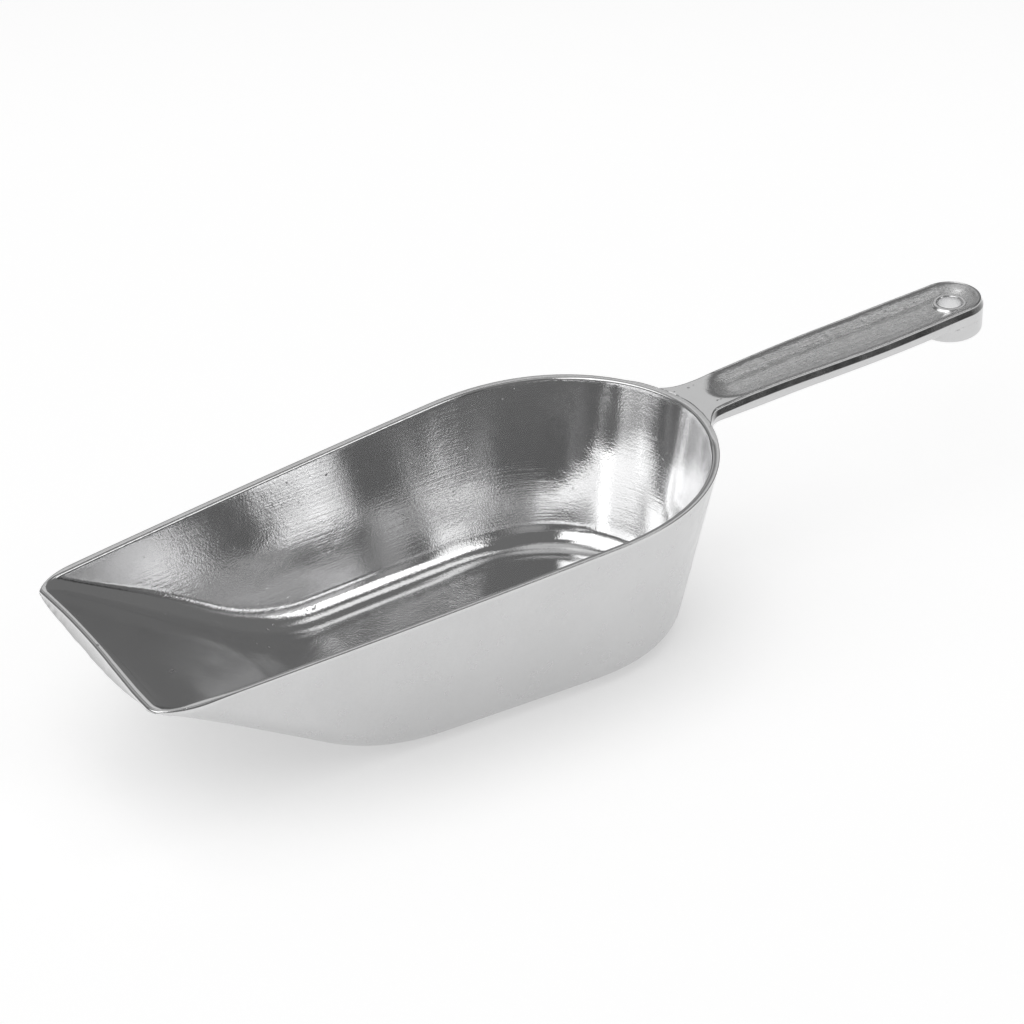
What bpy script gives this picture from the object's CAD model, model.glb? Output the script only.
import math

import bmesh
import bpy
import numpy as np
from mathutils import Matrix, Vector


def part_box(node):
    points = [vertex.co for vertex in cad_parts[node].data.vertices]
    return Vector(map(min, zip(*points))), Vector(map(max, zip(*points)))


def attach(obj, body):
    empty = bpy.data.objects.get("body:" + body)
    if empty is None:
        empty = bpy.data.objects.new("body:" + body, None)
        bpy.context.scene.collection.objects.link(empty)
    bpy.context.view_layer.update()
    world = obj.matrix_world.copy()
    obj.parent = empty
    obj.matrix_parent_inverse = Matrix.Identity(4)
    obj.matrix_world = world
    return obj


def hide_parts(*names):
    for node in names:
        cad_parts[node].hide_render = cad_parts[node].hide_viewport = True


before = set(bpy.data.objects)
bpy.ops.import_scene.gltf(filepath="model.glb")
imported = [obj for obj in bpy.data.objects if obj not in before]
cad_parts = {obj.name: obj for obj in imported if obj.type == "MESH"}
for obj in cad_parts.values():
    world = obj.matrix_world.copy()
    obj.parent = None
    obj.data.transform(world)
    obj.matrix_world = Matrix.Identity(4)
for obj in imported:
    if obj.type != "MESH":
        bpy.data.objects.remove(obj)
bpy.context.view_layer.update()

MM = 0.001
QUARTER = math.pi / 2

# ------------------------------------------------------------------ driving sizes
bowl_low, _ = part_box("bowl")
_, grip_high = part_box("handle")
LIP_X = bowl_low[0] / MM
FLOOR_Z = bowl_low[2] / MM
END_X = (grip_high[0] - bowl_low[0]) / MM     # end of the grip, from the lip line

BOWL_LEN = 171.2
LIP_HALF = 34.3                               # half width at the lip line
SIDE_LINEAR, SIDE_SQUARE = 15.57, -4.46       # growth of the half width along the bowl
BACK_X = 118.1                                # centre of the rounded back
BACK_POWER_X, BACK_POWER_Y = 2.17, 1.85
RIM_MID_Z, PITCH = 43.8, math.radians(3.95)   # rim height at mid length, rim pitch
TAN, COS, SIN = math.tan(PITCH), math.cos(PITCH), math.sin(PITCH)
LIP_Z = RIM_MID_Z - TAN * BOWL_LEN / 2
RAMP_X, RAMP_Z = 59.5, 36.4                   # run and rise of the ramp up to the lip
RAMP_SLOPE = RAMP_Z / RAMP_X
RAMP_ANGLE = math.atan(RAMP_SLOPE)
BEND_R = 60.0                                 # bend between floor and ramp
FLOOR_T = 2.6                                 # thickness of the floor

# walls: thickness at the side and the back, lean per mm of height there, floor height
OUTER = dict(wall=0.0, wall_back=0.0, lean=0.204, lean_back=0.191, lift=0.0)
INNER = dict(wall=2.3, wall_back=1.8, lean=0.190, lean_back=0.178, lift=FLOOR_T)

LIP_R = 7.0                                   # nominal plan corner, spaces the stations
FAR_LIP_R, NEAR_LIP_R = 5.4, 7.6              # plan corners of the lip
EDGE_OUT_R, EDGE_IN_R = 0.5, 0.6              # roundings of the ground rim
LIP_TOP_R, LIP_LOW_R = 0.75, 0.7              # roundings of the lip, top and bottom
LIP_MIN_T = 0.12                              # least thickness left at the lip

# points in a column: outside, land on the rim, inside
N_OUT, N_LAND, N_IN = 74, 7, 100
N_LOW = N_OUT - 1                             # rows below the rim rounding

# y, least depth of the front face of the lip
LIP_FACE = np.array([
    (-40, 0), (-31, 0), (-26, 0.7), (-23, 1.7), (-19, 2.5), (-13.5, 3.4), (-8, 4.1), (-2, 4.5),
    (4, 4.5), (9, 4.45), (15, 4.15), (20, 3.7), (25, 2.95), (28, 2.2), (30, 1.2), (32, 0.3),
    (40, 0)]).T
RAMP_NORMAL_X, RAMP_NORMAL_Z = 0.522, 0.853   # down and forwards from the ramp

# y, shift of the lip line in x
LIP_SKEW = np.array([
    (-40, -1.6), (-30, -1.65), (-24, -1.6), (-20, -1.45), (-15, -1.1), (-11, -0.8), (-8, -0.6),
    (-4, -0.26), (0, 0.0), (4, 0.2), (9, 0.38), (13.5, 0.48), (18, 0.5), (24, 0.35), (30, 0.15),
    (40, 0.1)]).T


# ------------------------------------------------------------------ shared curves
def smooth(start, end, x):
    """Smooth step, 0 at start and 1 at end; start may lie above end."""
    t = np.clip((x - start) / (end - start), 0, 1)
    return t * t * (3 - 2 * t)


def fade(x, reach):
    """1 at the lip line, dying out towards the back."""
    return np.exp(-np.clip(x, 0, None) / reach)


def arc_points(r, z, radius_r, radius_z, start, end, count):
    """Points on an elliptic arc about (r, z), angles in degrees."""
    return [(r + radius_r * math.cos(a), z + radius_z * math.sin(a))
            for a in np.linspace(math.radians(start), math.radians(end), count)]


def rim_z(x):
    return RIM_MID_Z + TAN * (x - BOWL_LEN / 2)


def half_width(x):
    """Half width of the bowl at the rim."""
    u = x / BOWL_LEN
    base = LIP_HALF + SIDE_LINEAR * u + SIDE_SQUARE * u * u
    k = np.clip((x - BACK_X) / (BOWL_LEN - BACK_X), 0, 1)
    return base * np.clip(1 - k ** BACK_POWER_X, 0, 1) ** (1 / BACK_POWER_Y)


def bottom_z(x, lift):
    """Side profile: floor, bend and ramp, offset inwards by lift."""
    x = np.asarray(x, float)
    shift = lift / math.cos(RAMP_ANGLE)
    corner_x = (RAMP_Z + shift - lift) / RAMP_SLOPE
    bend = BEND_R - lift
    tangent = bend * math.tan(RAMP_ANGLE / 2)
    floor_x = corner_x + tangent
    ramp_x = corner_x - tangent * math.cos(RAMP_ANGLE)
    z = np.where(x >= floor_x, lift, RAMP_Z + shift - RAMP_SLOPE * x)
    arc = lift + bend - np.sqrt(np.clip(bend * bend - (floor_x - x) ** 2, 0, None))
    return np.where((x < floor_x) & (x > ramp_x), arc, z)


def rim_outline():
    """Rim outline of the far half in plan, lip to back, and its outward normals."""
    back = np.sin(np.linspace(0, QUARTER, 700)) ** (2 / BACK_POWER_X)
    xs = np.concatenate([np.linspace(-12, BACK_X - 0.2, 500),
                         BACK_X + (BOWL_LEN - BACK_X) * back])
    points = np.stack([xs, half_width(xs)], 1)
    step = np.gradient(points, axis=0)
    length = np.hypot(step[:, 0], step[:, 1]) + 1e-12
    normals = np.stack([-step[:, 1] / length, step[:, 0] / length], 1)
    normals[-1] = (1, 0)
    return points, normals


RIM, RIM_NORMAL = rim_outline()
RIM_ANGLE = np.arctan2(RIM[:, 1], RIM[:, 0] - BACK_X)     # about the back centre


def ramp_dish(x):
    """The inside of the ramp is dished down a little towards the lip."""
    return 0.75 * fade(x, 9.0)


# ------------------------------------------------------------------ bowl sections
class Cut:
    """Vertical half plane across the bowl at x, or fanned to angle phi about the back centre.

    In a section q is the distance out from the middle of the cut.
    """

    def __init__(self, x, phi=None):
        self.x = x
        if phi is None:
            self.out = np.array([0.0, 1.0])
            self.reach = float(half_width(x))
            normal = np.array([np.interp(x, RIM[:, 0], RIM_NORMAL[:, k]) for k in (0, 1)])
        else:
            self.out = np.array([math.cos(phi), math.sin(phi)])
            table = np.hstack([RIM, RIM_NORMAL])[::-1]
            row = [np.interp(phi, RIM_ANGLE[::-1], table[:, k]) for k in range(4)]
            self.reach = math.hypot(row[0] - BACK_X, row[1])
            normal = np.array(row[2:])
        self.normal = normal / np.hypot(*normal)

    def plan_x(self, q):
        return self.x + self.out[0] * q

    def rim(self, q):
        return rim_z(self.plan_x(q))


def section(cut, radius, wall, wall_back, lean, lean_back, lift):
    """Curve (q, z) from above the rim down the wall, round the foot and in to the middle."""
    side, back = cut.normal[1] ** 2, cut.normal[0] ** 2
    facing = float(cut.normal @ cut.out)
    lean = (lean * side + lean_back * back) / facing
    inset = (wall * side + wall_back * back) / facing
    rim = float(cut.rim(cut.reach))

    def floor_z(q):
        x = cut.plan_x(q)
        return float(bottom_z(x, lift) - (ramp_dish(x) if lift > 0 else 0.0))

    # sharp corner where the wall would meet the bottom
    q = cut.reach - inset - rim * lean
    for _ in range(30):
        q = cut.reach - inset - (rim - floor_z(q)) * lean
    corner = np.array([q, floor_z(q)])
    slope = floor_z(q) - floor_z(q - 1.0)
    up = np.array([lean, 1.0]) / math.hypot(lean, 1.0)
    inwards = -np.array([1.0, slope]) / math.hypot(1.0, slope)
    angle = math.acos(float(up @ inwards))
    tangent = radius / math.tan(angle / 2)
    arc_start, arc_end = corner + up * tangent, corner + inwards * tangent
    bisector = (up + inwards) / np.linalg.norm(up + inwards)
    centre = corner + bisector * (radius / math.sin(angle / 2))
    a, b = arc_start - centre, arc_end - centre
    sweep = math.acos(np.clip(float(a @ b) / (radius * radius), -1, 1))
    arc = [centre + (math.sin((1 - k) * sweep) * a + math.sin(k * sweep) * b) / math.sin(sweep)
           for k in np.linspace(0, 1, 40)]
    top = corner + up * (tangent + 60.0)
    wall_points = [top + (arc_start - top) * k for k in np.linspace(0, 1, 60)[:-1]]
    floor_points = [np.array([v, floor_z(v)]) for v in np.linspace(arc_end[0], 0, 80)[1:]]
    return np.array(wall_points + arc + floor_points)


def trim_at_rim(points, cut, drop=0.0):
    """Keep what lies below the rim plane lowered by drop."""
    excess = points[:, 1] - (cut.rim(points[:, 0]) - drop)
    i = int(np.argmax(excess <= 0))
    above, below = points[i - 1], points[i]
    t = excess[i - 1] / (excess[i - 1] - excess[i])
    return np.vstack([above + (below - above) * t, points[i:]])


def resample(points, count):
    """Spread count points along a curve, closer together where it bends."""
    lengths = np.hypot(np.diff(points[:, 0]), np.diff(points[:, 1]))
    along = np.concatenate([[0], np.cumsum(lengths)])
    fine = np.linspace(0, along[-1], 1500)
    dq = np.gradient(np.interp(fine, along, points[:, 0]), fine)
    dz = np.gradient(np.interp(fine, along, points[:, 1]), fine)
    curvature = np.abs(np.gradient(np.unwrap(np.arctan2(dz, dq)), fine))
    curvature = np.convolve(np.pad(curvature, 40, mode="edge"), np.ones(81) / 81, mode="valid")
    density = 1 + 9.0 * curvature
    total = np.concatenate([[0], np.cumsum((density[1:] + density[:-1]) / 2)])
    total /= total[-1]
    t = np.interp(np.linspace(0, 1, count), total, fine)
    return np.stack([np.interp(t, along, points[:, 0]), np.interp(t, along, points[:, 1])], 1)


def outer_section(cut):
    return section(cut, float(8.0 + 2.6 * (1 - smooth(12, 66, cut.x))), **OUTER)


def inner_section(cut):
    curve = section(cut, float(4.2 + 3.6 * smooth(4, 40, cut.x)), **INNER)
    return trim_at_rim(curve, cut)


def neck_fade(x, y):
    """1 on the free rim, 0 where the grip is joined to it."""
    return 1 - smooth(20.5, 16.0, np.abs(y)) * smooth(150, 160, x)


# ------------------------------------------------------------------ lip
def lip_corner(radius):
    """Round plan corner of the lip: y of its centre, x where it meets the side."""
    splay = math.atan((float(half_width(8.0)) - float(half_width(0.0))) / 8.0)
    centre_y = float(half_width(0.0)) + radius * math.tan(splay) - radius / math.cos(splay)
    return centre_y, radius + radius * math.cos(QUARTER + splay)


def front_inset(x, y, radius):
    """Plan distance in from the front line and its round corners, large elsewhere."""
    centre_y, _ = lip_corner(radius)
    y = np.abs(y)
    from_arc = radius - np.hypot(np.minimum(x - radius, 0), np.maximum(y - centre_y, 0))
    return np.where(x > radius, 1e3, np.where(y < centre_y, x, from_arc))


def round_off(inset, radius):
    """How far a rounded edge falls away at a distance in from the edge."""
    missing = np.clip(radius - inset, 0, None)
    return radius - np.sqrt(np.clip(radius ** 2 - missing ** 2, 0, None))


def lip_hang(x, y, z):
    """How far the thickened underside of the lip stands out along the ramp normal."""
    ripple = (0.08 * np.sin(1.05 * y + 0.6) * np.sin(0.37 * y + 1.2)
              + 0.06 * np.sin(0.51 * y + 2.0))
    need = (np.interp(y, *LIP_FACE) + ripple * smooth(30, 22, np.abs(y))
            - (LIP_Z - (z + RAMP_SLOPE * x)))
    return np.clip(need, 0, None) * 0.72 * fade(x, 6.0)


def shape_lip(x, y, z, corner_r):
    """Round the front edges of a column and hang its underside."""
    inset = front_inset(x, y, corner_r)
    low_rise = round_off(inset, LIP_LOW_R)
    ceiling = rim_z(x) - round_off(inset, LIP_TOP_R)
    underside = np.maximum(z, bottom_z(x, 0) + low_rise)
    underside = np.minimum(underside, ceiling - LIP_MIN_T)
    is_top = np.arange(len(z)) >= N_LOW
    z = np.where(is_top, np.minimum(z, ceiling), underside)
    hang = np.where(is_top, 0.0, lip_hang(x, y, z - low_rise))
    return x - RAMP_NORMAL_X * hang, z - RAMP_NORMAL_Z * hang


# ------------------------------------------------------------------ bowl
def solid_lip_end():
    """x where the inside of the ramp comes up to the rim; the lip is solid before it."""
    x = 2.0
    for _ in range(20):
        x = ((RAMP_Z + FLOOR_T / math.cos(RAMP_ANGLE) - LIP_Z - float(ramp_dish(x)))
             / (RAMP_SLOPE + TAN))
    return x


SOLID_X = solid_lip_end()
SOLID_REACH = inner_section(Cut(SOLID_X + 0.02))[0, 0]    # inner half width there


def column(cut, side, corner_r):
    """One half section: outside from the middle up, over the land, down the inside."""
    curve = outer_section(cut)
    corner_y, corner_x = lip_corner(corner_r)
    if cut.x < corner_x:
        bulge = math.sqrt(max(corner_r * corner_r - (cut.x - corner_r) ** 2, 0))
        curve[:, 0] = np.minimum(curve[:, 0], corner_y + bulge)
    edge = trim_at_rim(curve, cut)[0, 0]
    edge_x, edge_y = cut.plan_x(edge), cut.out[1] * edge
    free = float(neck_fade(edge_x, edge_y))
    out_r = EDGE_OUT_R * free + 0.02
    if side < 0:
        out_r *= float(1 - 0.55 * smooth(8, 20, edge_x))
    outer = resample(trim_at_rim(curve, cut, out_r), N_OUT)

    solid = cut.x < SOLID_X + 0.011
    if solid:
        land_end = min(SOLID_REACH, edge - 1.2)
    else:
        inner = resample(inner_section(cut), N_IN)
        land = edge - inner[0, 0]
        in_r = min(EDGE_IN_R, land * 0.4)
        if side < 0:                          # the near rim is polished round inwards
            in_r += (land * 0.72 - in_r) * float(smooth(7, 20, edge_x) * free)
        land_end = inner[0, 0] + in_r

    rows = []
    for a in np.linspace(0, QUARTER, 5):      # outer rounding
        q = outer[0, 0] - out_r * (1 - math.cos(a))
        rows.append((q, cut.rim(q) - out_r * (1 - math.sin(a))))
    land_start = rows[-1][0]
    for k in np.linspace(0, 1, N_LAND)[1:]:
        q = land_start + (land_end - land_start) * k
        rows.append((q, cut.rim(q)))
    if solid:
        rows += [(q, cut.rim(q)) for q in np.linspace(rows[-1][0], 0, 5 + N_IN)[1:]]
    else:                                     # inner rounding, then down the inside
        corner = inner[0]
        keep = inner[np.hypot(*(inner - corner).T) > in_r]
        start = corner + (keep[0] - corner) * (in_r / np.hypot(*(keep[0] - corner)))
        land_point = np.array(rows[-1])
        for k in np.linspace(0, 1, 6)[1:]:
            rows.append((1 - k) ** 2 * land_point + 2 * k * (1 - k) * corner + k * k * start)
        rows += list(resample(np.vstack([start[None], keep]), N_IN)[1:])

    profile = np.vstack([outer[::-1][:-1], np.array(rows)])
    x = cut.plan_x(profile[:, 0])
    y = side * cut.out[1] * profile[:, 0]
    z = profile[:, 1]
    if cut.x < 14:
        x, z = shape_lip(x, y, z, corner_r)
    # the lip line is not quite square to the scoop, and its far corner is drawn in
    x = x + np.interp(y, *LIP_SKEW) * fade(x, 9.0)
    y = y - 0.25 * fade(x, 10.0) * smooth(24, 33, y)
    return np.stack([x, y, z], 1)


def bowl_grid():
    """Columns x rows x 3: from the far end of the lip round the back to the near end."""
    xs = np.concatenate([
        LIP_R * 0.16 * (1 - np.cos(np.linspace(0, QUARTER, 10)))[:-1],
        np.linspace(LIP_R * 0.16, SOLID_X, 6)[:-1],
        np.linspace(SOLID_X, 12, 16)[:-1],
        np.linspace(12, BACK_X, 92)])
    cuts = [Cut(x) for x in xs] + [Cut(BACK_X, phi) for phi in np.linspace(QUARTER, 0, 78)[1:]]
    far = [column(cut, 1, FAR_LIP_R) for cut in cuts]
    near = [column(cut, -1, NEAR_LIP_R) for cut in cuts]
    return np.array(far + near[:-1][::-1])


# ------------------------------------------------------------------ mesh helpers
def lip_to_frame(points):
    """Lip frame in mm to the scene in metres."""
    return (np.array(points, float) + (LIP_X, 0.0, FLOOR_Z)) * MM


def mesh_object(name, points, faces, merge, zones):
    """Closed smooth mesh; zones are named values on the points."""
    mesh = bpy.data.meshes.new(name)
    bm = bmesh.new()
    for zone in zones:
        bm.verts.layers.float.new(zone)
    verts = [bm.verts.new(p) for p in points]
    for zone, values in zones.items():
        layer = bm.verts.layers.float[zone]
        for vert, value in zip(verts, values):
            vert[layer] = float(value)
    for face in faces:
        bm.faces.new([verts[i] for i in face])
    bmesh.ops.remove_doubles(bm, verts=bm.verts, dist=merge)
    bmesh.ops.dissolve_degenerate(bm, edges=bm.edges, dist=1e-7)
    loose = [v for v in bm.verts if not v.link_faces]
    bmesh.ops.delete(bm, geom=loose, context="VERTS")
    bmesh.ops.recalc_face_normals(bm, faces=bm.faces)
    bm.to_mesh(mesh)
    bm.free()
    for polygon in mesh.polygons:
        polygon.use_smooth = True
    ob = bpy.data.objects.new(name, mesh)
    bpy.context.scene.collection.objects.link(ob)
    return ob


def grid_faces(n_cols, n_rows, start=0):
    faces = []
    for i in range(n_cols - 1):
        for j in range(n_rows - 1):
            a = start + i * n_rows + j
            faces.append((a, a + 1, a + n_rows + 1, a + n_rows))
    return faces


def register(ob, part):
    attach(ob, "root")
    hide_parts(part)


def lip_front_faces(points, base, n_rows):
    """Front face of one half of the lip: triangles between the underside rows and the
    upper rows of an end column, matched by their distance from the middle."""
    low = [base + j for j in range(N_LOW)]
    high = [base + j for j in range(n_rows - 1, N_LOW - 1, -1)]
    low_y = [abs(points[i][1]) for i in low]
    high_y = [abs(points[i][1]) for i in high]
    faces, i, j = [], 0, 0
    while i < len(low) - 1 or j < len(high) - 1:
        if j == len(high) - 1 or (i < len(low) - 1 and low_y[i + 1] <= high_y[j + 1]):
            faces.append((low[i], low[i + 1], high[j]))
            i += 1
        else:
            faces.append((low[i], high[j + 1], high[j]))
            j += 1
    return faces


def bowl_zones(grid):
    n_cols, n_rows = grid.shape[:2]
    row = np.arange(n_rows)
    land_start, land_end = N_LOW + 2, N_LOW + 4 + N_LAND
    is_wear = (np.abs(row - land_start) < 3) | (np.abs(row - land_end) < 3)
    inner = np.tile((row > land_end).astype(float), (n_cols, 1))
    land = np.tile(((row >= land_start) & (row < land_end)).astype(float), (n_cols, 1))
    # the top of the solid lip is ground like the land
    solid = (grid[:, N_LOW + 12, 0] < SOLID_X + 0.6) & (np.abs(grid[:, N_LOW, 0]) < 6)
    lip_top = solid[:, None] & (row >= land_start)[None, :]
    inner[lip_top] = 0
    land[lip_top] = 1
    wear = np.tile(is_wear.astype(float), (n_cols, 1))
    return {"inner": inner.ravel(), "land": land.ravel(), "wear": wear.ravel()}


def make_bowl():
    grid = bowl_grid()
    n_cols, n_rows = grid.shape[:2]
    points = grid.reshape(-1, 3)
    faces = grid_faces(n_cols, n_rows)
    for base in (0, (n_cols - 1) * n_rows):
        faces += lip_front_faces(points, base, n_rows)
    ob = mesh_object("bowl_casting", lip_to_frame(points), faces, 2e-6, bowl_zones(grid))
    for p in ob.data.polygons:                # the ground front face of the lip stays flat
        in_front = p.center.x < (LIP_X + 3.5) * MM and p.normal.x < -0.7
        if len(p.vertices) == 3 and in_front and p.area > 1.5e-7:
            p.use_smooth = False
    register(ob, "bowl")
    return ob


# ------------------------------------------------------------------ grip sizes
END_R = 9.05                                  # rounded end of the grip
HOLE_X = (END_X - END_R) / COS                # middle of the hanging hole, grip frame
SEAT_R = 4.45                                 # hole in the grip that the eye fills
GRIP_T, PARTING_Z = 4.75, -1.45               # thickness, height of the parting line
BOTTOM_EDGE_R = 0.9
SHARP_R = 0.02                                # bottom edge where the boss takes over
NECK_X = 178.0                                # end of the flared neck, grip frame
CHANNEL_DEPTH, CHANNEL_MARGIN = 2.35, 1.6     # margin is the flat rail beside it
CHANNEL_X, CHANNEL_NOSE = 178.2, 9.0          # front of the channel, length of its nose
CHANNEL_SLOPE, CHANNEL_SOFT = 3.9, 0.34       # width of its slope, softness of the ends

# x in the lip frame, half width of the grip; the near flare is tighter
FAR_FLARE = [(160, 22.5), (163.5, 18.9), (166.8, 15.75), (168.6, 13.2), (170.4, 11.3),
             (172.4, 9.95), (174.8, 8.95), (178, 8.3)]
NEAR_FLARE = [(160, 22.5), (163.5, 19.0), (166.8, 16.1), (168.4, 13.9), (169.8, 11.9),
              (171.6, 9.6), (173.6, 8.1), (176, 7.8), (178.5, 7.95)]
SHAFT = [(184, 8.2), (195, 8.5), (209, 9.05), (224, 9.4), (237, 9.4), (246, 9.25), (253, 9.1)]

# x in the grip frame, rise of the rails, rise of the underside
LIFT_X, LIFT_TOP, LIFT_LOW = np.array([
    (160, 0, 1.2), (168, 0, 1.2), (171, 0.12, 1.2), (174.5, 0.42, 1.15), (178, 0.75, 1.1),
    (184, 1.08, 1.05), (192, 1.1, 0.95), (202, 0.95, 0.95), (214, 0.6, 0.7), (228, 0.15, 0.35),
    (242, 0.0, 0.05), (258, -0.1, 0.0), (270, -0.1, 0.0)]).T

# rows across the top and bottom faces: insets from the side, then even steps to the middle
FACE_INSETS = np.array([1.25, 1.5, 1.75, 2.0, 2.3, 2.6, 2.9, 3.2, 3.5, 3.75, 4.0])
N_MID = 16
N_FACE = len(FACE_INSETS) + N_MID
N_NECK = 40                                   # stations along the neck


def grip_outline(flare):
    table = [(x / COS, width) for x, width in flare + SHAFT] + [(HOLE_X, END_R)]
    return np.array(table).T


FAR_OUTLINE, NEAR_OUTLINE = grip_outline(FAR_FLARE), grip_outline(NEAR_FLARE)

# rim round the back of the bowl, from the middle outwards, with distance along it
_at_back = RIM[:, 0] > 150
BACK_RIM = RIM[_at_back][::-1].copy()
BACK_NORMAL = RIM_NORMAL[_at_back][::-1].copy()
BACK_ALONG = np.concatenate([[0], np.cumsum(np.hypot(*np.diff(BACK_RIM, axis=0).T))])


# ------------------------------------------------------------------ grip
def hermite(xk, yk, x):
    """Smooth cubic through the points."""
    slope = np.gradient(yk, xk)
    i = np.clip(np.searchsorted(xk, x) - 1, 0, len(xk) - 2)
    h = xk[i + 1] - xk[i]
    t = np.clip((x - xk[i]) / h, 0, 1)
    return ((2 * t ** 3 - 3 * t ** 2 + 1) * yk[i] + (t ** 3 - 2 * t ** 2 + t) * h * slope[i]
            + (-2 * t ** 3 + 3 * t ** 2) * yk[i + 1] + (t ** 3 - t ** 2) * h * slope[i + 1])


def grip_width(x, outline):
    return hermite(*outline, np.asarray(x, float))


def channel_depth(x, y):
    """Depth of the channel below the rails, grip frame."""
    width = np.maximum(grip_width(np.minimum(x, HOLE_X), FAR_OUTLINE) - CHANNEL_MARGIN, 0.1)
    front = np.clip((CHANNEL_X + CHANNEL_NOSE - x) / CHANNEL_NOSE, 0, None)
    back = np.clip((x - HOLE_X) / (END_R - CHANNEL_MARGIN), 0, None)
    inset = (1 - np.sqrt(front ** 2 + back ** 2 + (y / width) ** 2)) * width
    # straight slope with rounded top and foot
    t = inset / CHANNEL_SLOPE
    k = CHANNEL_SOFT
    top = np.where(t < -k, 0, np.where(t < k, (t + k) ** 2 / (4 * k), t))
    foot = np.where(top > 1 - k, top - (top - (1 - k)) ** 2 / (4 * k), top)
    sag = 0.12 * smooth(0.9, 2.2, t)
    return CHANNEL_DEPTH * np.where(top > 1 + k, 1.0, foot) + sag


def side_rows(edge_r):
    """(inset, z) up the side of the grip."""
    draft = 0.12                              # inset of the side at the bottom
    rows = arc_points(draft + edge_r, -GRIP_T + edge_r, edge_r, edge_r, -90, -180, 6)
    start, widest = -GRIP_T + edge_r, PARTING_Z - 0.7
    for k in np.linspace(0, 1, 6)[1:-1]:
        z = start + (widest - 0.12 - start) * k
        rows.append((draft * (widest - z) / (GRIP_T + widest), z))
    rows += [(0.012, widest - 0.12), (0.0, widest), (0.07, widest + 0.17)]
    rows += [(0.24, -1.55), (0.42, -1.13), (0.61, -0.68)]
    rows += arc_points(1.16, -0.44, 0.52, 0.44, 194, 90, 8)
    return rows


def station(place, depth, edge_r):
    """One station: underside outwards, up the side, top face inwards.

    place(inset, z) gives the plan point; depth is the inset of the innermost rows.
    """
    face = np.concatenate([FACE_INSETS, np.linspace(FACE_INSETS[-1], depth, N_MID + 1)[1:]])
    levels = [(d, -GRIP_T) for d in face[::-1]] + side_rows(edge_r) + [(d, 0.0) for d in face]
    return [(*place(d, z), z) for d, z in levels]


def buried_front(t, z, reach):
    """Front boundary inside the bowl wall: t is 0 at the flare, 1 in the middle."""
    s = reach * (1 - t)
    x, y = (np.interp(s, BACK_ALONG, BACK_RIM[:, k]) for k in (0, 1))
    normal_x, normal_y = (np.interp(s, BACK_ALONG, BACK_NORMAL[:, k]) for k in (0, 1))
    depth = 0.75 - z * 0.19
    return np.array([(x - normal_x * depth) / COS, y - normal_y * depth])


def neck_stations(outline):
    """Stations blended between the buried front, the flare, the shaft and the middle."""
    xs = np.linspace(170.9, 160, 2000)
    meets_wall = half_width(xs) >= grip_width(xs / COS, outline)
    start_x = (xs[np.argmax(meets_wall)] - 0.9) / COS
    reach = float(np.interp(float(grip_width(start_x, outline)) - 0.2,
                            BACK_RIM[:, 1], BACK_ALONG))
    end_width = float(grip_width(NECK_X, outline))
    flare_x = np.linspace(start_x, NECK_X, 600)
    flare_y = grip_width(flare_x, outline)
    along = np.concatenate([[0], np.cumsum(np.hypot(np.diff(flare_x), np.diff(flare_y)))])

    def blend(f, t, z):
        """Coons patch: f from the front to the shaft, t from the flare to the middle."""
        front, front_out, front_mid = (buried_front(k, z, reach) for k in (t, 0.0, 1.0))
        shaft = np.array([NECK_X, end_width * (1 - t)])
        shaft_out, shaft_mid = np.array([NECK_X, end_width]), np.array([NECK_X, 0.0])
        flare = np.array([np.interp(f * along[-1], along, v) for v in (flare_x, flare_y)])
        # bring the start of the flare onto the buried front
        flare = flare + (1 - f) ** 2 * (front_out - np.array([flare_x[0], flare_y[0]]))
        middle = np.array([front_mid[0] + (NECK_X - front_mid[0]) * f, 0.0])
        corners = ((1 - f) * (1 - t) * front_out + (1 - f) * t * front_mid
                   + f * (1 - t) * shaft_out + f * t * shaft_mid)
        return (1 - f) * front + f * shaft + (1 - t) * flare + t * middle - corners

    return [station(lambda d, z: blend(f, d / end_width, z), end_width, BOTTOM_EDGE_R)
            for f in np.linspace(0, 1, N_NECK)]


def shaft_stations(outline):
    xs = np.concatenate([np.arange(NECK_X, 196, 0.45)[1:],
                         np.linspace(196, HOLE_X - 10, 90)[1:],
                         np.linspace(HOLE_X - 10, HOLE_X, 34)[1:]])
    stations = []
    for x in xs:
        width = float(grip_width(x, outline))
        fading = 1 - smooth(HOLE_X - 9.5, HOLE_X - 6.5, x)
        seat = math.sqrt(max(SEAT_R ** 2 - (x - HOLE_X) ** 2, 0.0))
        stations.append(station(lambda d, z: (x, width - d), width - seat,
                                float(BOTTOM_EDGE_R * fading + SHARP_R)))
    return stations


def end_stations():
    """Stations fanned round the end of the grip."""
    stations = []
    for a in np.linspace(QUARTER, 0, 40)[1:]:
        out_x, out_y = math.cos(a), math.sin(a)
        stations.append(station(
            lambda d, z: (HOLE_X + out_x * (END_R - d), out_y * (END_R - d)),
            END_R - SEAT_R, SHARP_R))
    return stations


def grip_half(outline):
    """Stations x rows x 3 of one half, y positive, grip frame."""
    grid = np.array(neck_stations(outline) + shaft_stations(outline) + end_stations())
    x, y, z = grid[..., 0], grid[..., 1], grid[..., 2]
    top = slice(-N_FACE, None)
    z[:, top] -= channel_depth(x[:, top], y[:, top])
    # the top follows the rise of the rails, the side fades to that of the underside
    upper = np.clip((z + GRIP_T) / (GRIP_T + PARTING_Z), 0, 1)
    upper[:, top] = 1.0
    z += hermite(LIFT_X, LIFT_TOP, x) * upper + hermite(LIFT_X, LIFT_LOW, x) * (1 - upper)
    # over the bowl wall the top stays just under the ground rim
    inside = np.interp(np.abs(y), BACK_RIM[:, 1], BACK_RIM[:, 0]) - x * COS
    z[:, top] = np.where(inside[:, top] > -0.02, np.minimum(z[:, top], -0.03), z[:, top])
    return grid


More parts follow.
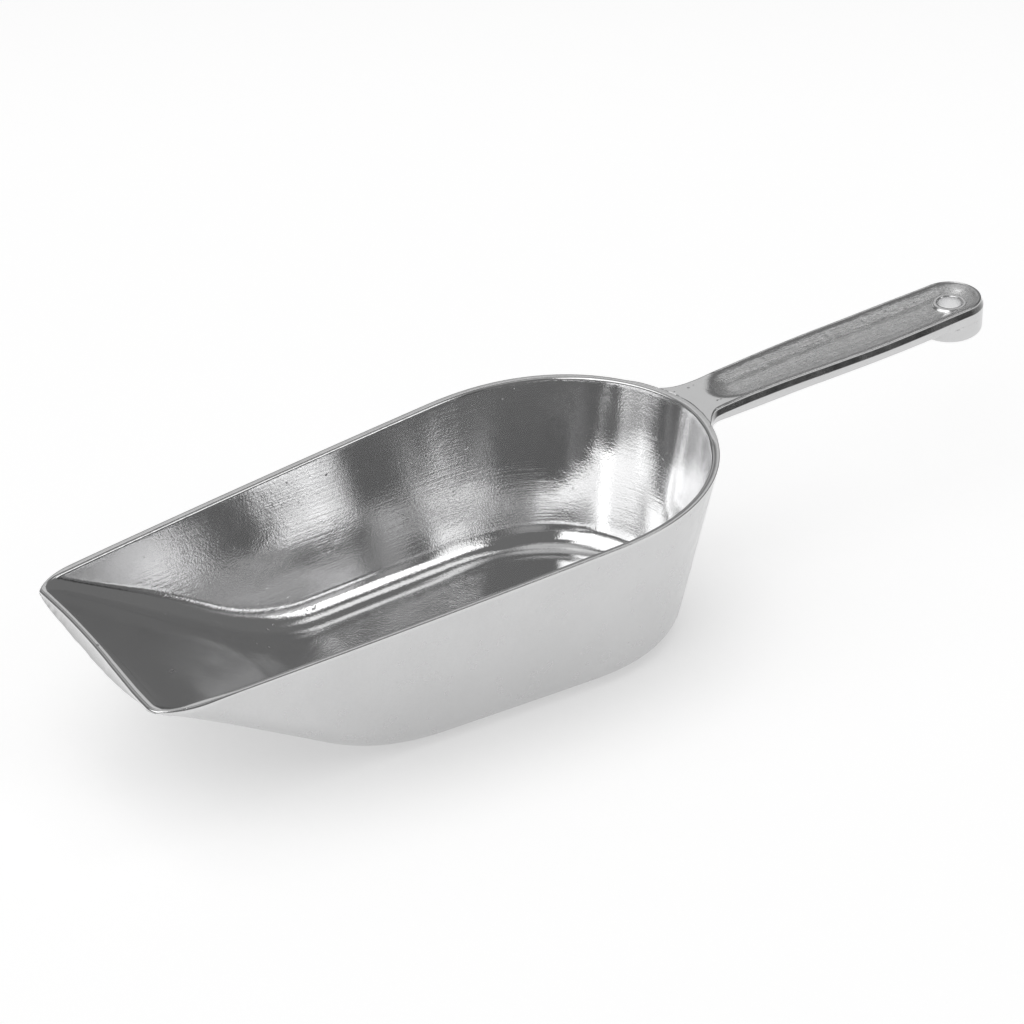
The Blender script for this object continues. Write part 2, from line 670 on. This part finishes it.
def grip_to_lip(points):
    x, y, z = points[..., 0], points[..., 1], points[..., 2]
    return np.stack([x * COS - z * SIN, y, LIP_Z + x * SIN + z * COS], -1)


def grip_zones(grid):
    shape = grid.shape[:2]
    depth = channel_depth(grid[..., 0], grid[..., 1])
    inner, land, wear, cast = (np.zeros(shape) for _ in range(4))
    cast[:, -N_FACE:] = np.clip(depth[:, -N_FACE:] / 0.9, 0, 1)
    land[:, -N_FACE:] = 1 - cast[:, -N_FACE:]
    wear[:, -N_FACE - 7:-N_FACE] = 1
    zones = {"inner": inner, "land": land, "wear": wear, "cast": cast}
    return {name: np.tile(values.ravel(), 2) for name, values in zones.items()}


def make_grip():
    half = grip_half(FAR_OUTLINE)
    n_stations, n_rows = half.shape[:2]
    far = grip_to_lip(half)
    near = grip_to_lip(grip_half(NEAR_OUTLINE)) * np.array([1, -1, 1])
    points = np.concatenate([far.reshape(-1, 3), near.reshape(-1, 3)])
    first_seat = next(i for i in range(N_NECK, n_stations) if half[i, 0, 1] > 1e-4) - 1
    faces = []
    for base in (0, n_stations * n_rows):
        skin = grid_faces(n_stations, n_rows, base)
        faces += [face[::-1] for face in skin] if base else skin
        last = base + n_rows - 1
        # front face inside the bowl wall: strip between the faces, then the side rows
        for j in range(N_FACE - 1):
            faces.append((base + j, base + j + 1, last - 1 - j, last - j))
        faces.append(tuple(range(base + N_FACE - 1, base + n_rows - N_FACE + 1)))
        # wall of the seat for the eye
        for i in range(first_seat, n_stations - 1):
            a, b = base + i * n_rows, base + (i + 1) * n_rows
            faces.append((a, b, b + n_rows - 1, a + n_rows - 1))
    ob = mesh_object("grip_casting", lip_to_frame(points), faces, 2e-6, grip_zones(half))
    register(ob, "handle")
    return ob


# ------------------------------------------------------------------ hanging boss
HOLE_R, EYE_R = 3.2, 4.75                     # hanging hole, raised eye round it
EYE_TOP, BOSS_LOW = -1.78, -9.95              # heights in the grip frame
BOSS_R, BOSS_DRAFT = 8.93, 0.10
BOSS_EDGE_R, HOLE_EDGE_R = 1.5, 0.55          # bottom roundings, outside and at the hole
EYE_EDGE_R = 0.5
MOUTH_R, MOUTH_H = 0.5, 0.45                  # rounding at the top of the hole
FILLET = (0.3, 1.5, 0.62, 0.18)               # widening of profile points 1 to 4
N_TURN = 144


def spread(start, end, count):
    """Points on a straight line after start, up to end."""
    (r0, z0), (r1, z1) = start, end
    return [(r0 + (r1 - r0) * k, z0 + (z1 - z0) * k) for k in np.linspace(0, 1, count)[1:]]


def boss_profile():
    """Closed (radius, z) loop: down the outside, in to the hole, up it, over the eye."""
    foot_z = BOSS_LOW + BOSS_EDGE_R
    foot_r = BOSS_R - BOSS_DRAFT - BOSS_EDGE_R
    hole_low, hole_top = BOSS_LOW + HOLE_EDGE_R, EYE_TOP - MOUTH_H
    hole_out = HOLE_R + HOLE_EDGE_R
    profile = [(8.2, -4.3), (8.88, -4.55), (BOSS_R, -4.8)]
    profile += spread((BOSS_R, -4.8), (BOSS_R - BOSS_DRAFT, foot_z), 9)
    profile += arc_points(foot_r, foot_z, BOSS_EDGE_R, BOSS_EDGE_R, 0, -90, 9)[1:]
    profile += spread((foot_r, BOSS_LOW), (hole_out, BOSS_LOW), 7)
    profile += arc_points(hole_out, hole_low, HOLE_EDGE_R, HOLE_EDGE_R, -90, -180, 5)[1:]
    profile += spread((HOLE_R, hole_low), (HOLE_R, hole_top), 9)
    profile += arc_points(HOLE_R + MOUTH_R, hole_top, MOUTH_R, MOUTH_H, 180, 90, 6)[1:]
    profile.append((HOLE_R + 0.75, EYE_TOP + 0.01))
    profile += arc_points(EYE_R - EYE_EDGE_R, EYE_TOP - EYE_EDGE_R, EYE_EDGE_R, EYE_EDGE_R,
                          90, 28, 5)
    profile += [(EYE_R + 0.12, -2.32), (EYE_R + 0.3, -2.5), (EYE_R + 0.3, -3.2)]
    return profile


def make_boss():
    profile = boss_profile()
    n_rows = len(profile)
    points, faces = [], []
    for i in range(N_TURN):
        a = 2 * math.pi * i / N_TURN
        cos_a, sin_a = math.cos(a), math.sin(a)
        for j, (r, z) in enumerate(profile):
            if 1 <= j <= 4 and cos_a < 0:
                # small fillet where the boss leaves the flat underside of the grip
                limit = BOSS_R / max(abs(sin_a), 1e-3) - BOSS_R
                widen = max(0.0, min(FILLET[j - 1], limit))
                r += widen * float(smooth(0, 0.35, -cos_a))
            points.append((HOLE_X + r * cos_a, r * sin_a, z))
    for i in range(N_TURN):
        a, b = i * n_rows, (i + 1) % N_TURN * n_rows
        for j in range(n_rows):
            k = (j + 1) % n_rows
            faces.append((a + j, a + k, b + k, b + j))
    points = np.array(points)
    radius, z = np.hypot(points[:, 0] - HOLE_X, points[:, 1]), points[:, 2]
    land = (radius < EYE_R + 0.2) & (z > BOSS_LOW + 0.3)
    wear = (radius > HOLE_R + 0.05) & (radius < EYE_R) & (z > EYE_TOP - 0.6)
    ob = mesh_object("boss_casting", lip_to_frame(grip_to_lip(points)), faces, 1e-6,
                     {"land": land, "wear": wear})
    register(ob, "hanging_boss")
    return ob


# ------------------------------------------------------------------ node helpers
class Nodes:
    """Short calls for building a node tree."""

    def __init__(self, tree):
        self.tree = tree

    def node(self, kind, **settings):
        node = self.tree.nodes.new(kind)
        for name, value in settings.items():
            setattr(node, name, value)
        return node

    def put(self, socket, value):
        if isinstance(value, bpy.types.NodeSocket):
            self.tree.links.new(value, socket)
        else:
            socket.default_value = value

    def math(self, operation, a, b=0.0, c=0.0):
        node = self.node("ShaderNodeMath", operation=operation)
        for socket, value in zip(node.inputs, (a, b, c)):
            self.put(socket, value)
        return node.outputs[0]

    def times(self, a, b):
        return self.math("MULTIPLY", a, b)

    def scaled(self, value, by, plus):
        return self.math("MULTIPLY_ADD", value, by, plus)

    def swing(self, value, by, plus):
        """Scale a 0..1 texture about its middle and add it."""
        return self.scaled(self.math("SUBTRACT", value, 0.5), by, plus)

    def ramp(self, value, start, end, low=0.0, high=1.0):
        node = self.node("ShaderNodeMapRange", interpolation_type="SMOOTHSTEP", clamp=True)
        for name, v in (("Value", value), ("From Min", start), ("From Max", end),
                        ("To Min", low), ("To Max", high)):
            self.put(node.inputs[name], v)
        return node.outputs["Result"]

    def mix(self, factor, a, b):
        node = self.node("ShaderNodeMix", data_type="FLOAT")
        for i, v in ((0, factor), (2, a), (3, b)):
            self.put(node.inputs[i], v)
        return node.outputs[0]

    def noise(self, vector, scale, detail=2.0, rough=0.5):
        node = self.node("ShaderNodeTexNoise")
        for name, v in (("Vector", vector), ("Scale", scale), ("Detail", detail),
                        ("Roughness", rough)):
            self.put(node.inputs[name], v)
        return node.outputs["Fac"]

    def stretch(self, vector, scale):
        node = self.node("ShaderNodeMapping")
        self.put(node.inputs["Vector"], vector)
        node.inputs["Scale"].default_value = scale
        return node.outputs["Vector"]

    def attribute(self, name):
        return self.node("ShaderNodeAttribute", attribute_name=name).outputs["Fac"]

    def grey(self, *values):
        """Colour from one value for all channels, or from three."""
        node = self.node("ShaderNodeCombineColor")
        for i in range(3):
            self.put(node.inputs[i], values[i % len(values)])
        return node.outputs[0]


# ------------------------------------------------------------------ metal
TONE_IN, TONE_OUT = 0.84, 0.60                # base grey, polished and satin
TINT = (1.0, 1.0, 1.003)
ROUGH_IN, ROUGH_OUT = 0.045, 0.20
WAVE, GRAIN = 0.06, 0.030                     # relief heights in mm


def cast_metal(name):
    """Polished cast metal: fine sanded grain, pits, soft polish lines, wear."""
    material = bpy.data.materials.new(name)
    material.use_nodes = True
    t = Nodes(material.node_tree)
    material.node_tree.nodes.clear()
    output = t.node("ShaderNodeOutputMaterial")
    shader = t.node("ShaderNodeBsdfPrincipled")
    t.put(output.inputs[0], shader.outputs[0])
    t.put(shader.inputs["Metallic"], 1.0)
    # texture space in millimetres
    mm = t.stretch(t.node("ShaderNodeTexCoord").outputs["Object"], scale=(1000, 1000, 1000))
    inner, land, wear, cast = (t.attribute(zone) for zone in ("inner", "land", "wear", "cast"))
    shine = t.math("MAXIMUM", t.math("MAXIMUM", inner, land), cast)

    grain = t.noise(mm, scale=1.7, rough=0.55)
    fine = t.noise(mm, scale=3.1, rough=0.6)
    blotch = t.noise(mm, scale=0.055, detail=3.0, rough=0.55)
    small_blotch = t.noise(mm, scale=0.21)
    # level polish lines, and draw lines along X
    lines = t.noise(t.stretch(mm, scale=(0.035, 0.035, 1.7)), scale=1.0, detail=3.0, rough=0.6)
    along = t.noise(t.stretch(mm, scale=(0.05, 3.0, 3.0)), scale=1.0, rough=0.6)
    # pits in scattered patches, faint on the satin outside
    pits = t.ramp(t.noise(mm, scale=0.62, detail=1.0), start=0.735, end=0.775)
    pits = t.times(pits, t.ramp(t.noise(mm, scale=0.06, detail=1.0), start=0.45, end=0.6))
    pits = t.times(pits, t.scaled(shine, by=0.92, plus=0.06))

    # colour: bare aluminium, slightly uneven
    tone = t.scaled(blotch, by=0.05, plus=t.mix(shine, TONE_OUT, TONE_IN))
    tone = t.swing(grain, by=0.05, plus=tone)
    tone = t.math("SUBTRACT", tone, t.times(pits, 0.35))
    tone = t.scaled(wear, by=0.06, plus=tone)
    tone = t.scaled(cast, by=0.14, plus=tone)
    t.put(shader.inputs["Base Color"], t.grey(*(t.times(tone, k) for k in TINT)))

    # roughness: near mirror inside, satin outside, ground land, duller channel
    rough_in = t.scaled(t.ramp(blotch, start=0.35, end=0.65), by=0.03, plus=ROUGH_IN)
    rough_in = t.scaled(t.ramp(small_blotch, start=0.4, end=0.7), by=0.02, plus=rough_in)
    rough_out = t.scaled(t.ramp(small_blotch, start=0.3, end=0.7), by=0.08, plus=ROUGH_OUT)
    rough = t.mix(inner, rough_out, rough_in)
    rough = t.mix(land, rough, t.scaled(along, by=0.10, plus=0.11))
    rough = t.mix(cast, rough, t.scaled(along, by=0.16, plus=0.20))
    t.put(shader.inputs["Roughness"], t.scaled(pits, by=0.3, plus=rough))

    # share of the grain: outside, inside in patches, land, channel
    patches = t.ramp(t.noise(mm, scale=0.045), start=0.35, end=0.6, low=0.45, high=1.0)
    share = t.mix(inner, 0.18, patches)
    share = t.mix(land, share, 0.35)
    share = t.mix(cast, share, 1.25)
    # relief in mm
    height = t.times(t.math("SUBTRACT", grain, 0.5), t.times(share, GRAIN))
    height = t.swing(fine, by=t.times(share, GRAIN * 0.25), plus=height)
    polished = t.times(inner, t.ramp(t.noise(mm, scale=0.035, detail=1.0),
                                     start=0.42, end=0.62))
    height = t.swing(lines, by=t.times(polished, 0.034), plus=height)
    drawn = t.scaled(cast, by=0.10, plus=t.times(land, 0.010))
    height = t.swing(along, by=drawn, plus=height)
    height = t.math("SUBTRACT", height, t.times(pits, 0.05))
    height = t.swing(t.noise(mm, scale=0.42, rough=0.6), by=t.times(cast, 0.22), plus=height)
    height = t.swing(t.noise(mm, scale=0.11), by=WAVE, plus=height)
    bump = t.node("ShaderNodeBump")
    t.put(bump.inputs["Strength"], 1.0)
    t.put(bump.inputs["Distance"], MM)
    t.put(bump.inputs["Height"], height)
    t.put(shader.inputs["Normal"], bump.outputs[0])
    return material


# ------------------------------------------------------------------ floor
FLOOR_SIZE, FLOOR_LEVEL = 16.0, -0.0002       # metres
FLOOR_GLOW = 0.74


def floor_white():
    """White floor that glows, less at grazing angles and close to the object."""
    material = bpy.data.materials.new("floor_white")
    material.use_nodes = True
    shader = material.node_tree.nodes["Principled BSDF"]
    t = Nodes(material.node_tree)
    place = t.node("ShaderNodeTexCoord").outputs["Object"]
    tone = t.scaled(t.noise(place, scale=40.0, detail=3.0), by=0.01, plus=0.55)
    t.put(shader.inputs["Base Color"], t.grey(tone))
    t.put(shader.inputs["Roughness"], 0.85)
    t.put(shader.inputs["Specular IOR Level"], 0.1)
    t.put(shader.inputs["Emission Color"], (1, 1, 1, 1))
    geometry = t.node("ShaderNodeNewGeometry")
    facing = t.node("ShaderNodeVectorMath", operation="DOT_PRODUCT")
    t.put(facing.inputs[0], geometry.outputs["Incoming"])
    t.put(facing.inputs[1], geometry.outputs["Normal"])
    steepness = t.math("ABSOLUTE", facing.outputs["Value"])
    glow = t.ramp(steepness, start=0.0, end=0.42, low=0.12, high=1.0)
    occlusion = t.node("ShaderNodeAmbientOcclusion", samples=8)
    t.put(occlusion.inputs["Distance"], 0.045)
    contact = t.ramp(occlusion.outputs["AO"], start=0.15, end=0.95, low=0.58, high=1.0)
    t.put(shader.inputs["Emission Strength"], t.times(t.times(glow, contact), FLOOR_GLOW))
    return material


def make_floor():
    mesh = bpy.data.meshes.new("floor")
    h, z = FLOOR_SIZE / 2, FLOOR_LEVEL
    mesh.from_pydata([(-h, -h, z), (h, -h, z), (h, h, z), (-h, h, z)], [], [(0, 1, 2, 3)])
    ob = bpy.data.objects.new("floor", mesh)
    bpy.context.scene.collection.objects.link(ob)
    mesh.materials.append(floor_white())


# ------------------------------------------------------------------ surroundings
WORLD_BASE, WORLD_LEAST = 0.155, 0.01         # even light, and the floor of the sum
# soft rectangles of light, in degrees: azimuth from +X towards +Y, half width,
# lower and upper elevation, level, softness of the edges
SOFTBOXES = [
    (176, 31, 24, 71, 1.12, 5.0),
    (-146, 14, 26, 60, 1.2, 3.0),
    (98, 22, 50, 80, 0.45, 8.0),
    (-54, 12, 24, 46, 1.3, 3.0),
    (-18, 13, 52, 70, 0.75, 5.0),
    (57, 20, 31, 46, 0.46, 3.5),
    (103, 16, 24, 44, 0.2, 5.0),
    (76, 16, -4, 22, 0.2, 5.0),
    (-64, 20, -10, 17, -0.12, 4.0),
    (0, 181, 76, 91, 0.35, 5.0),
]


def make_world():
    world = bpy.data.worlds.new("studio")
    bpy.context.scene.world = world
    world.use_nodes = True
    t = Nodes(world.node_tree)
    background = world.node_tree.nodes["Background"]
    separate = t.node("ShaderNodeSeparateXYZ")
    t.put(separate.inputs[0], t.node("ShaderNodeTexCoord").outputs["Generated"])
    x, y, z = separate.outputs
    elevation = t.math("ARCSINE", z)
    level_part = t.math("MAXIMUM", t.math("SUBTRACT", 1.0, t.times(z, z)), 1e-5)
    level_part = t.math("SQRT", level_part)

    def softbox(azimuth, half_angle, low, high, level, softness):
        azimuth, half_angle, low, high, soft = (
            math.radians(v) for v in (azimuth, half_angle, low, high, softness))
        toward = t.math("ADD", t.times(x, math.cos(azimuth)), t.times(y, math.sin(azimuth)))
        cosine = t.math("MAXIMUM", t.math("DIVIDE", toward, level_part), -0.9999)
        angle = t.math("ARCCOSINE", t.math("MINIMUM", cosine, 0.9999))
        across = t.ramp(angle, start=half_angle + soft, end=half_angle - soft)
        above = t.ramp(elevation, start=low - soft, end=low + soft)
        below = t.ramp(elevation, start=high + soft, end=high - soft)
        return t.times(t.times(across, t.times(above, below)), level)

    total = WORLD_BASE
    for box in SOFTBOXES:
        total = t.math("ADD", total, softbox(*box))
    total = t.math("MAXIMUM", total, WORLD_LEAST)
    t.put(background.inputs[0], t.grey(total))
    t.put(background.inputs[1], 1.0)


# ------------------------------------------------------------------ camera
AIM = (107.326, -13.434, 45.311)              # mm, x from the lip line
CAMERA_DISTANCE = 762.343633                  # mm
CAMERA_RIGHT = Vector((0.83098489, -0.55629498, 0.0))
CAMERA_UP = Vector((0.28840859, 0.43082033, 0.85511071))
CAMERA_BACK = Vector((-0.4756938, -0.71058408, 0.51844544))
SENSOR_WIDTH, LENS = 36.0, 109.73696484


def make_camera():
    data = bpy.data.cameras.new("camera")
    camera = bpy.data.objects.new("camera", data)
    bpy.context.scene.collection.objects.link(camera)
    aim = Vector((AIM[0] + LIP_X, AIM[1], AIM[2])) * MM
    place = Matrix.Translation(aim + CAMERA_BACK * (CAMERA_DISTANCE * MM))
    turn = Matrix((CAMERA_RIGHT, CAMERA_UP, CAMERA_BACK)).transposed().to_4x4()
    camera.matrix_world = place @ turn
    data.sensor_width = SENSOR_WIDTH
    data.lens = LENS
    data.clip_start, data.clip_end = 0.05, 50
    bpy.context.scene.camera = camera


def set_render():
    scene = bpy.context.scene
    # light runs round the inside of the polished bowl several times
    scene.cycles.max_bounces = 16
    scene.cycles.glossy_bounces = 16
    scene.view_settings.view_transform = "Standard"
    scene.view_settings.look = "None"


# ------------------------------------------------------------------ build
castings = {"bowl": make_bowl(), "grip": make_grip(), "boss": make_boss()}
for casting_name, casting in castings.items():
    casting.data.set_sharp_from_angle(angle=math.radians(38))
    casting.data.materials.append(cast_metal("cast_aluminium_" + casting_name))
make_floor()
make_world()
set_render()
make_camera()
